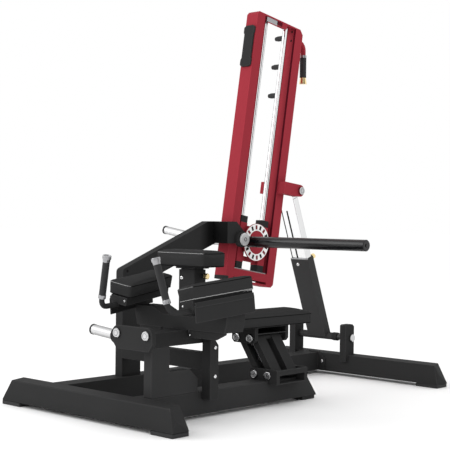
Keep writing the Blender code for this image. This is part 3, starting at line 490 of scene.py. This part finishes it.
def block(low, high, bevel=0.0):
    """A box between two corners, its edges rounded."""
    bm = bmesh.new()
    bmesh.ops.create_cube(bm, size=1.0)
    low, high = Vector(low), Vector(high)
    bmesh.ops.scale(bm, vec=high - low, verts=bm.verts)
    bmesh.ops.translate(bm, vec=(low + high) / 2, verts=bm.verts)
    if bevel:
        bmesh.ops.bevel(bm, geom=bm.edges[:], offset=bevel, segments=2, profile=0.5, affect="EDGES", material=-1)
    return bm


def tube(path, radius, closed=False, sides=8):
    """A round cord along a path: rings set across it and bridged one to the next."""
    bm = bmesh.new()
    rings = []
    count = len(path)
    for k, point in enumerate(path):
        ahead = path[(k + 1) % count] if closed or k + 1 < count else point
        behind = path[k - 1] if closed or k else point
        axes = facing(point, (ahead - behind).normalized())
        ring = bmesh.ops.create_circle(bm, cap_ends=False, segments=sides, radius=radius, matrix=axes)["verts"]
        rings.append(list({e for v in ring for e in v.link_edges}))
    for ring, after in zip(rings, rings[1:]):
        bmesh.ops.bridge_loops(bm, edges=ring + after)
    if closed:
        bmesh.ops.bridge_loops(bm, edges=rings[-1] + rings[0])
    else:
        bmesh.ops.holes_fill(bm, edges=rings[0] + rings[-1], sides=sides)
    bmesh.ops.recalc_face_normals(bm, faces=bm.faces)
    return bm


def join_shapes(shapes):
    """Several shapes as one."""
    whole = bmesh.new()
    for bm in shapes:
        mesh = bpy.data.meshes.new("shape")
        bm.to_mesh(mesh)
        bm.free()
        whole.from_mesh(mesh)
        bpy.data.meshes.remove(mesh)
    return whole


def bolt_head(radius, axes, steps=24):
    """A domed bolt head with a socket, standing on z = 0 of its axes."""
    r = radius
    profile = [(0, -0.001), (r, -0.001), (r, 0.18 * r), (0.93 * r, 0.38 * r), (0.74 * r, 0.55 * r),
               (0.50 * r, 0.62 * r), (0.44 * r, 0.60 * r), (0.42 * r, 0.30 * r), (0, 0.28 * r)]
    return moved(turned(profile, steps), axes)


def thin_ring(outer, inner, spot, direction):
    """A flat ring laid on a face."""
    thick = 0.0006
    profile = [(inner, 0.0), (outer, 0.0), (outer, thick), (inner, thick), (inner, 0.0)]
    return moved(turned(profile), facing(spot, direction))


def hole(radius):
    """A dark disc that stands for a small hole, the shade inside it painted on."""
    thick = 0.0004
    return turned([(0, 0), (radius, 0), (radius, thick), (0, thick)], 16)


# ---------------------------------------------------------------- cushions

# The cover's cloth, the height below which it is stapled to the board, and the last frame of its simulation
COVER = {"quality": 5, "mass": 0.3, "tension_stiffness": 40, "compression_stiffness": 40, "shear_stiffness": 20,
         "bending_stiffness": 6}
STAPLED = 0.010
LAST_FRAME = 20
# Cords: radius of their corners, points in a corner, step along a side
CORD_CORNER, CORNER_POINTS, CORD_STEP = 0.016, 7, 0.012
PIPED = 0.010      # how far behind a pad's front edge its piping with a painted highlight ends


def swollen(work, flat, board):
    """Moves a cover's vertices to where the foam's pressure pushes them, while its edge on the board is held."""
    chosen = settings().cushion
    into_board = board.inverted()
    rest = [v.co.copy() for v in flat.vertices]
    held = work.vertex_groups.new(name="board")
    for k, co in enumerate(rest):
        if (into_board @ co).z < STAPLED:
            held.add([k], 1.0, "REPLACE")
    cloth = work.modifiers.new("Cloth", "CLOTH")
    for name, value in COVER.items():
        setattr(cloth.settings, name, value)
    cloth.settings.use_pressure = True
    cloth.settings.uniform_pressure_force = chosen.pressure
    cloth.settings.effector_weights.gravity = 0.0
    cloth.settings.vertex_group_mass = "board"
    cloth.point_cache.frame_start = 1
    cloth.point_cache.frame_end = LAST_FRAME
    for number in range(1, LAST_FRAME + 1):
        bpy.context.scene.frame_set(number)
    blown = work.evaluated_get(bpy.context.evaluated_depsgraph_get()).to_mesh()
    for vert, before, after in zip(flat.vertices, rest, [v.co.copy() for v in blown.vertices]):
        push = after - before
        if push.length > chosen.swell:
            push *= chosen.swell / push.length
        vert.co = before + push
    work.modifiers.clear()
    bpy.context.scene.frame_set(1)


def inflate(node_name, board):
    """The cushion's own mesh: a merged copy of the CAD pad, remeshed, and its cover pushed out by the foam."""
    bm = bmesh.new()
    bm.from_mesh(frame["nodes"][node_name].data)
    bmesh.ops.remove_doubles(bm, verts=bm.verts, dist=0.00001)
    mesh = bpy.data.meshes.new(node_name + "_cover")
    bm.to_mesh(mesh)
    bm.free()
    work = bpy.data.objects.new(node_name + "_cover", mesh)
    bpy.context.scene.collection.objects.link(work)
    remesh = work.modifiers.new("Remesh", "REMESH")
    remesh.mode = "VOXEL"
    remesh.voxel_size = settings().cushion.voxel
    remesh.use_smooth_shade = True
    smooth = work.modifiers.new("Smooth", "SMOOTH")
    smooth.factor = 0.5
    smooth.iterations = 2
    deps = bpy.context.evaluated_depsgraph_get()
    flat = bpy.data.meshes.new_from_object(work.evaluated_get(deps))
    work.modifiers.clear()
    work.data = flat
    swollen(work, flat, board)
    bm = bmesh.new()
    bm.from_mesh(flat)
    bmesh.ops.smooth_vert(bm, verts=bm.verts, factor=0.5, use_axis_x=True, use_axis_y=True, use_axis_z=True)
    bmesh.ops.subdivide_edges(bm, edges=bm.edges, cuts=1, use_grid_fill=True, smooth=0.0)
    bpy.data.objects.remove(work, do_unlink=True)
    return bm


def edge_path(bm, board, size, middle, height):
    """A closed path round a pad at a height, laid on the cover from outside."""
    tree = BVHTree.FromBMesh(bm)
    hx, hy = size[0] / 2 - CORD_CORNER, size[1] / 2 - CORD_CORNER
    points = []
    for cx, cy, first in ((hx, hy, 0), (-hx, hy, 90), (-hx, -hy, 180), (hx, -hy, 270)):
        for k in range(CORNER_POINTS):
            a = math.radians(first + 90 * k / (CORNER_POINTS - 1))
            points.append(Vector((cx + CORD_CORNER * math.cos(a), cy + CORD_CORNER * math.sin(a), 0)))
    path = []
    for here, after in zip(points, points[1:] + points[:1]):
        steps = max(1, round((after - here).length / CORD_STEP))
        path += [here.lerp(after, k / steps) for k in range(steps)]
    laid = []
    for point in path:
        spot = board @ (point + Vector((middle[0], middle[1], height)))
        near = tree.find_nearest(spot)[0]
        laid.append(near if near is not None else spot)
    return laid


def upholster(node_name, board, size, middle, heights, hem="seam"):
    """A pad's cushion with piping in a painted highlight along its front, a seam in painted shade round the rest and a
    hem below, for the CAD pad.

    size is across and along the board, middle its centre there, heights those of the upper cord and the hem."""
    chosen = settings().cushion
    cover = inflate(node_name, board)
    upper, lower = [edge_path(cover, board, size, middle, height) for height in heights]
    into_board = board.inverted()
    front = middle[1] - size[1] / 2 + PIPED
    ahead = [(into_board @ spot).y <= front for spot in upper]
    lead = next(k for k in range(len(upper)) if ahead[k - 1] and not ahead[k])
    around = list(zip(upper[lead:] + upper[:lead], ahead[lead:] + ahead[:lead]))
    highlit = [spot for spot, first in around if first]
    sides = [spot for spot, first in around if not first]
    pad = keep_piece(node_name.replace("pad", "cushion"), cover, "upholstery", node_name, sharp=80)
    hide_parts(node_name)
    thin = chosen.piping * 0.8
    # the piping in front carries a painted highlight, the seam round the rest and the dark hems painted shade
    for kind, cord, look in (("piping", tube(highlit, chosen.piping), "piping"), ("seam", tube(sides, thin), "seam"),
                             ("hem", tube(lower, thin, True), hem)):
        keep_piece(node_name.replace("pad", kind), cord, "upholstery", node_name, look)


# ---------------------------------------------------------------- operators

class MACHINE_OT_finishes(bpy.types.Operator):
    """Give every CAD node that stays in view its paint, plating or rubber"""
    bl_idname = "machine.finishes"
    bl_label = "Paint and plating"

    def execute(self, context):
        made = finishes()
        chosen = settings().finish
        black = tuple(chosen.black)
        special = {name: made[look] for name, look in LOOK_OF.items()}
        special["tilt_arm"] = shaded_arm("black arm", black)
        special["strut_shaft"] = part_plated("painted shaft with plated end", at(SHAFT_END_X, 0, 0).x,
                                             (0.56, 0.56, 0.565), black)
        # painted light: lighter copies of the black coat
        for name, gain in PAINTED_LIGHT_GAIN.items():
            special[name] = finish("black powder coat, " + name, tuple(c * gain for c in black), 0.66,
                                   grain=chosen.grain, specular=0.03, hollow_shade=0.4, edge=2.2)
        for name, thing in frame["nodes"].items():
            material = special.get(name, made[SLOT_OF[name]])
            if not thing.material_slots:
                thing.data.materials.append(material)
            for slot in thing.material_slots:
                slot.material = material
        return {"FINISHED"}


class MACHINE_OT_elbow_pads(bpy.types.Operator):
    """Upholster the two elbow pads"""
    bl_idname = "machine.elbow_pads"
    bl_label = "Elbow pads"

    def execute(self, context):
        for side, hand, hem in (("left", -1, "seam"), ("right", 1, "hem_highlight")):
            upholster("elbow_pad_" + side, elbow_axes(hand), (0.155, 0.390), (0.0, 0.194), (0.068, 0.004), hem)
        return {"FINISHED"}


class MACHINE_OT_chest_pad(bpy.types.Operator):
    """Upholster the chest pad"""
    bl_idname = "machine.chest_pad"
    bl_label = "Chest pad"

    def execute(self, context):
        board = Matrix.Translation(at(MID_RAIL_X, 0.485, 0.805 + 0.0168))
        upholster("chest_pad", board, (0.370, 0.175), (0.0, -0.0125), (0.076, 0.004))
        return {"FINISHED"}


class MACHINE_OT_knee_pad(bpy.types.Operator):
    """Upholster the knee pad"""
    bl_idname = "machine.knee_pad"
    bl_label = "Knee pad"

    def execute(self, context):
        board = Matrix.Translation(head_pin(0) + Vector((0, 0, 0.0651)))
        upholster("knee_pad", board, (0.250, 0.706), (LINK_PITCH / 2, 1.1890 - LINK_Y0), (0.060, 0.004))
        return {"FINISHED"}


# Profiles of a handle's fittings, as radius and height along the handle
HANDLE_FITTINGS = (
    ("handle_ring_", "satin_metal", [(0, 0.0004), (0.0198, 0.0004), (0.0205, 0.0012), (0.0205, 0.0200),
                                     (0.0198, 0.0215), (0, 0.0215)]),
    ("handle_sleeve_", "rubber", [(0, 0.0217), (0.0182, 0.0217), (0.0190, 0.0235), (0.0190, 0.198), (0.0184, 0.2045),
                                  (0, 0.2045)]),
    ("handle_cap_", "satin_metal", [(0, 0.2047), (0.0190, 0.2047), (0.0202, 0.207), (0.0212, 0.218), (0.0240, 0.224),
                                    (0.0240, 0.236), (0.0229, 0.2395), (0.0170, 0.2395), (0.0160, 0.2370),
                                    (0, 0.2370)]))


class MACHINE_OT_handle_grips(bpy.types.Operator):
    """Fit each bent handle with a ring, a grip and an end cap"""
    bl_idname = "machine.handle_grips"
    bl_label = "Handle grips"

    def execute(self, context):
        for side, hand in (("left", -1), ("right", 1)):
            low = at(MID_RAIL_X + hand * 0.250, 0.060, 0.652)
            top = at(MID_RAIL_X + hand * 0.194, 0.040, 0.850)
            node_name = "handle_grip_" + side
            kept = {name: keep_piece(name + side, turned(profile), slot, node_name, axes=facing(low, top - low))
                    for name, slot, profile in HANDLE_FITTINGS}
            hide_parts(node_name)
        return {"FINISHED"}


class MACHINE_OT_dial_marks(bpy.types.Operator):
    """Set the marks round the dial's white ring"""
    bl_idname = "machine.dial_marks"
    bl_label = "Dial marks"

    def execute(self, context):
        chosen = settings().fitting
        radius, back, face = 0.0985, 0.0660, 0.0670
        wide, long = chosen.mark_wide / 2, chosen.mark_long / 2
        shapes = {"black": [], "red": []}
        for k in range(chosen.marks):
            turn = Matrix.Rotation(2 * math.pi * (k + 0.5) / chosen.marks, 4, "X")
            mark = block((back, -wide, radius - long), (face, wide, radius + long))
            shapes["black" if k % 2 else "red"].append(moved(mark, DIAL_AXES @ turn))
        for colour, marks in shapes.items():
            look = "mark_" + colour
            keep_piece("dial_" + look, join_shapes(marks), "frame_" + colour, "dial_ring", look)
        return {"FINISHED"}


# Bolts on the stand's rear post, the chest sleeve and the rear rail: place, the way they face, size
STAND_BOLTS = ((at(-0.235, 0.541, 0.231), RIGHT, 1.0), (at(-0.235, 0.541, 0.386), RIGHT, 1.0),
               (at(MID_RAIL_X - 0.034, 0.440, 0.759), FRONT, 1.2), (at(-0.934, 2.350, 0.090), FRONT, 1.0))
# Short posts under the yoke, with a stud at the tip of each: their roots and their profile
YOKE_POSTS = (at(-0.508, 0.399, 0.4883), at(-0.288, 0.399, 0.4883))
POST_PROFILE = [(0, 0), (0.0105, 0), (0.0105, 0.010), (0.0080, 0.011), (0.0080, 0.026), (0, 0.026)]


class MACHINE_OT_bolts(bpy.types.Operator):
    """Put the chrome bolt heads on the stand, brackets, strut and base"""
    bl_idname = "machine.bolts"
    bl_label = "Bolt heads"

    def execute(self, context):
        r = settings().fitting.bolt_radius
        fixed = [bolt_head(r * size, facing(spot, way)) for spot, way, size in STAND_BOLTS]
        keep_piece("stand_bolts", join_shapes(fixed), "chrome", "stand_post_rear")
        hung = [facing(spot, DOWN) for spot in YOKE_POSTS]
        posts = [moved(turned(POST_PROFILE, 20), axes) for axes in hung]
        tips = [bolt_head(0.0095, axes @ Matrix.Translation((0, 0, 0.0262)), 6) for axes in hung]
        keep_piece("yoke_posts", join_shapes(posts), "frame_black", "pad_yoke")
        keep_piece("yoke_studs", join_shapes(tips), "chrome", "pad_yoke")
        trays = []
        for hand in (-1, 1):
            axes = elbow_axes(hand)
            spot = axes @ Vector((-hand * 0.040, 0.0, -0.020))
            trays.append(bolt_head(0.0062, facing(spot, axes.to_3x3() @ Vector(FRONT))))
        keep_piece("tray_bolts", join_shapes(trays), "chrome", "elbow_bracket_left")
        guide = bolt_head(0.0125, STRUT_AXES @ facing(Vector((-0.031, -0.034, 0.550)), FRONT))
        keep_piece("sleeve_bolt", guide, "chrome", "strut_sleeve")
        return {"FINISHED"}


PROUD = Vector((0, -0.0098, 0))      # from a link pin's near end to the face of its cap
# Thin rings: piece, the CAD node they ride with, centres, the way they face, outer and inner radius, look
RINGS = (
    ("plate_cap_rings", "seat_beam", (at(-0.472, 0.037, 0.482), at(-0.250, 0.037, 0.482)), FRONT, 0.0165, 0.0120, None),
    ("strut_head_ring", "strut_top_pin", (FRAME_AXES @ Vector((0.126, 0.528, 0.413)),), RIGHT, 0.0185, 0.0110, None),
    ("axle_cap_rings", "tilt_axle", (at(-0.834, AXLE_Y, AXLE_Z),), RIGHT, 0.0125, 0.0085, "mark_black"),
    ("link_foot_rings", "knee_shoe", (foot_pin(0) + PROUD, foot_pin(1) + PROUD), FRONT, 0.0175, 0.0070, None),
    ("link_head_rings", "knee_deck_frame", (head_pin(0) + PROUD, head_pin(1) + PROUD), FRONT, 0.0175, 0.0070, None))


class MACHINE_OT_pin_caps(bpy.types.Operator):
    """Cap the knee links' pins and lay thin rings on them, the stand's caps, the strut's pin and the axle"""
    bl_idname = "machine.pin_caps"
    bl_label = "Pin caps"

    def execute(self, context):
        r = settings().fitting.pin_cap
        profile = [(0, -0.0006), (r, -0.0006), (r, 0.0050), (0.92 * r, 0.0085), (0.70 * r, 0.0100),
                   (0.34 * r, 0.0104), (0.30 * r, 0.0092), (0, 0.0090)]
        for name, node_name, pin in (("link_foot_caps", "knee_shoe", foot_pin),
                                     ("link_head_caps", "knee_deck_frame", head_pin)):
            caps = [moved(turned(profile), facing(pin(k), FRONT)) for k in range(2)]
            keep_piece(name, join_shapes(caps), "chrome", node_name, "plated")
        for name, node_name, spots, way, outer, inner, look in RINGS:
            rings = [thin_ring(outer, inner, spot, way) for spot in spots]
            keep_piece(name, join_shapes(rings), "satin_metal", node_name, look)
        return {"FINISHED"}


TOP = FRAME_TOP - LIP
REAR_FACE = FRAME_T - STILE_T / 2 - STILE_T
# Boxes on the red frame, in its own axes: piece, slot, look, two corners, rounding
FRAME_BOXES = (
    ("stop_plates", "satin_metal", None, (0.038, 0.0620, TOP - 0.030), (0.043, 0.1675, TOP - 0.0003), 0.0),
    # a thin sheet of painted shade where the groove runs down the stile
    ("stile_groove", "frame_red", "red_shade", (0.030, REAR_FACE - 0.0006, -0.175),
     (0.0455, REAR_FACE - 0.0001, TOP - 0.002), 0.0),
    # the stop lug in painted shade
    ("stop_lug", "frame_red", "red_shade", (0.036, 0.1685, TOP - 0.022), (0.0465, 0.2145, TOP - 0.0003), 0.0),
    ("stile_toe", "frame_black", None, (-0.0479, -STILE_T / 2 - 0.0010, -0.2625),
     (0.0479, -STILE_T / 2 + 0.030, -0.2380), 0.001))
# Storage horns: node, y, z, radius, reach of the collar, upward tilt, length
ARM_X0 = -1.063
HORNS = (("storage_horn_upper", 1.200, 0.966, 0.025, 0.028, math.radians(8.5), 0.234),
         ("storage_horn_lower", 0.610, 0.377, 0.031, 0.060, math.radians(5.2), 0.208))
# dark strips for the ram's slots: the shade inside them, painted
RAM_SLOTS = (((-0.037, -0.0256, 0.170), (-0.024, -0.0249, 0.940)),
             ((-0.0812, -0.0256, 0.170), (-0.0730, -0.0249, 1.000)))
SLEEVE_RIM = ((-0.090, -0.0335, 0.5863), (0.060, -0.0268, 0.5945))
SHAFT_RING = [(0.0206, 0.108), (0.0275, 0.108), (0.0285, 0.112), (0.0285, 0.146), (0.0275, 0.150), (0.0206, 0.150),
              (0.0206, 0.108)]


class MACHINE_OT_frame_details(bpy.types.Operator):
    """Add the frame's stop plate and toe, painted shade for its stop lug, groove and holes, the horns' and shaft's
    rings, and the strut's rim and painted shade for its slots
    """
    bl_idname = "machine.frame_details"
    bl_label = "Frame details"

    def execute(self, context):
        for name, slot, look, low, high, bevel in FRAME_BOXES:
            keep_piece(name, block(low, high, bevel), slot, "slide_frame", look, FRAME_AXES)
        for name, y, z, radius, reach, lift, long in HORNS:
            collar = Matrix.Translation(at(ARM_X0 - reach, y, z))
            axes = collar @ Matrix.Rotation(lift, 4, "Y") @ Matrix.Rotation(math.radians(-90), 4, "Y")
            inner, outer = radius + 0.0010, radius + 0.0018
            band = turned([(inner, long - 0.0080), (outer, long - 0.0075), (outer, long + 0.0045),
                           (inner, long + 0.0050), (inner, long - 0.0080)])
            keep_piece(name.replace("horn", "ring"), band, "rubber", name, axes=axes)
        dots = [moved(hole(0.0075), facing(Vector((0.012, REAR_FACE, TOP - below)), FRONT))
                for below in (0.016, 0.078)]
        keep_piece("stile_holes", join_shapes(dots), "rubber", "slide_frame", "mark_black", FRAME_AXES)
        slots = [block(low, high) for low, high in RAM_SLOTS]
        keep_piece("ram_slots", join_shapes(slots), "rubber", "strut_ram", "mark_black", STRUT_AXES)
        keep_piece("sleeve_rim", block(*SLEEVE_RIM, 0.0015), "satin_metal", "strut_sleeve", axes=STRUT_AXES)
        across = STRUT_FOOT @ Matrix.Rotation(math.radians(90), 4, "Y")
        keep_piece("shaft_ring", turned(SHAFT_RING), "frame_black", "strut_shaft", axes=across)
        keep_piece("arm_hole", hole(0.0085), "rubber", "tilt_arm", "mark_black", facing(at(-1.003, 0.588, 0.765), RIGHT))
        return {"FINISHED"}


# ---------------------------------------------------------------- studio

# Lamps: name, setting with its power, size, place. They are aimed at a point above the middle of the floor
AIM = Vector((0, 0, 0.9))
LAMPS = (("key_light", "key", 4.5, (-3.2, -5.2, 3.8)), ("top_light", "top", 5.0, (0.4, -0.6, 6.2)))
# Black cards that only reflections see: their lowest and highest corners
CARDS = (("card_right", (6.0, -1.0, 0.1), (6.05, 1.2, 5.0)), ("card_left", (-6.0, -4.5, 0.1), (-5.95, -2.8, 5.0)),
         ("card_front", (1.4, -8.0, 1.6), (9.0, -7.95, 2.6)), ("card_top", (-1.0, -3.6, 4.6), (5.0, -2.6, 4.65)))
# The photo's camera: place, turn, focal length and picture width in pixels, sensor width in millimetres
CAMERA_SPOT = at(3.9257, -3.7982, 1.10)
CAMERA_YAW, CAMERA_PITCH, CAMERA_ROLL = math.radians(43.369), math.radians(0.499), math.radians(0.654)
FOCAL_PIXELS, PHOTO_PIXELS, SENSOR = 1117.19, 450, 36.0


def stage_piece(name, bm, material):
    """A shape that belongs to the studio."""
    mesh = bpy.data.meshes.new(name)
    bm.to_mesh(mesh)
    bm.free()
    mesh.materials.append(material)
    thing = bpy.data.objects.new(name, mesh)
    bpy.context.scene.collection.objects.link(thing)
    return thing


class MACHINE_OT_stage(bpy.types.Operator):
    """Set up the pale studio: floor, surround, lights and the photo's camera"""
    bl_idname = "machine.stage"
    bl_label = "Studio"

    def execute(self, context):
        chosen = settings().stage
        collection = context.scene.collection
        bm = bmesh.new()
        bmesh.ops.create_grid(bm, x_segments=2, y_segments=2, size=60)
        pale = finish("pale studio floor", tuple(chosen.floor), 0.9, spread=0.0, grain=0.0, specular=0.0)
        stage_piece("studio_floor", bm, pale).location.z = -0.0004
        for name, setting, size, spot in LAMPS:
            data = bpy.data.lights.new(name, "AREA")
            data.energy = getattr(chosen, setting)
            data.size = size
            lamp = bpy.data.objects.new(name, data)
            lamp.matrix_world = facing(Vector(spot), Vector(spot) - AIM)
            collection.objects.link(lamp)
        dark = finish("black card", (0.004, 0.004, 0.004), 0.9, grain=0.0, specular=0.0)
        for name, low, high in CARDS:
            card = stage_piece(name, block(low, high), dark)
            card.visible_camera = False
            card.visible_diffuse = False
            card.visible_shadow = False
        world = context.scene.world or bpy.data.worlds.new("studio")
        context.scene.world = world
        world.use_nodes = True
        tree = world.node_tree
        seen = tree.nodes.new("ShaderNodeLightPath").outputs["Is Camera Ray"]
        strength = node(tree, "ShaderNodeMix", Factor=seen, A=chosen.sky, B=1.0).outputs["Result"]
        back = tree.nodes["Background"].inputs
        back["Color"].default_value = (1, 1, 1, 1)
        tree.links.new(strength, back["Strength"])
        context.scene.view_settings.view_transform = "Standard"
        data = bpy.data.cameras.new("photo_camera")
        data.sensor_width = SENSOR
        data.lens = FOCAL_PIXELS / PHOTO_PIXELS * SENSOR
        data.clip_end = 200
        camera = bpy.data.objects.new("photo_camera", data)
        collection.objects.link(camera)
        level = Matrix.Rotation(CAMERA_YAW, 4, "Z") @ Matrix.Rotation(math.radians(90) - CAMERA_PITCH, 4, "X")
        camera.matrix_world = Matrix.Translation(CAMERA_SPOT) @ level @ Matrix.Rotation(CAMERA_ROLL, 4, "Z")
        context.scene.camera = camera
        return {"FINISHED"}


# ---------------------------------------------------------------- panel and start

STEPS = (MACHINE_OT_finishes, MACHINE_OT_elbow_pads, MACHINE_OT_chest_pad, MACHINE_OT_knee_pad, MACHINE_OT_handle_grips,
         MACHINE_OT_dial_marks, MACHINE_OT_bolts, MACHINE_OT_pin_caps, MACHINE_OT_frame_details, MACHINE_OT_stage)


class MACHINE_PT_panel(bpy.types.Panel):
    """Buttons for each group of pieces and the settings they use"""
    bl_label = "Glute machine"
    bl_idname = "MACHINE_PT_panel"
    bl_space_type = "VIEW_3D"
    bl_region_type = "UI"
    bl_category = "Glute machine"

    def draw(self, context):
        column = self.layout.column()
        for step in STEPS:
            column.operator(step.bl_idname)
        for title, group in (("Finishes", settings().finish), ("Pads", settings().cushion),
                             ("Fittings", settings().fitting), ("Studio", settings().stage)):
            box = self.layout.box()
            box.label(text=title)
            for name in group.bl_rna.properties.keys():
                if name not in ("rna_type", "name"):
                    box.prop(group, name)


CLASSES = (FinishSettings, CushionSettings, FittingSettings, StageSettings, MachineSettings) + STEPS + (MACHINE_PT_panel,)


def register():
    for kind in CLASSES:
        bpy.utils.register_class(kind)
    bpy.types.Scene.machine = PointerProperty(type=MachineSettings)


def unregister():
    del bpy.types.Scene.machine
    for kind in reversed(CLASSES):
        bpy.utils.unregister_class(kind)


def main():
    register()
    for step in STEPS:
        group, name = step.bl_idname.split(".")
        if getattr(getattr(bpy.ops, group), name)() != {"FINISHED"}:
            raise RuntimeError(step.bl_label + " did not finish")


if __name__ == "__main__":
    main()
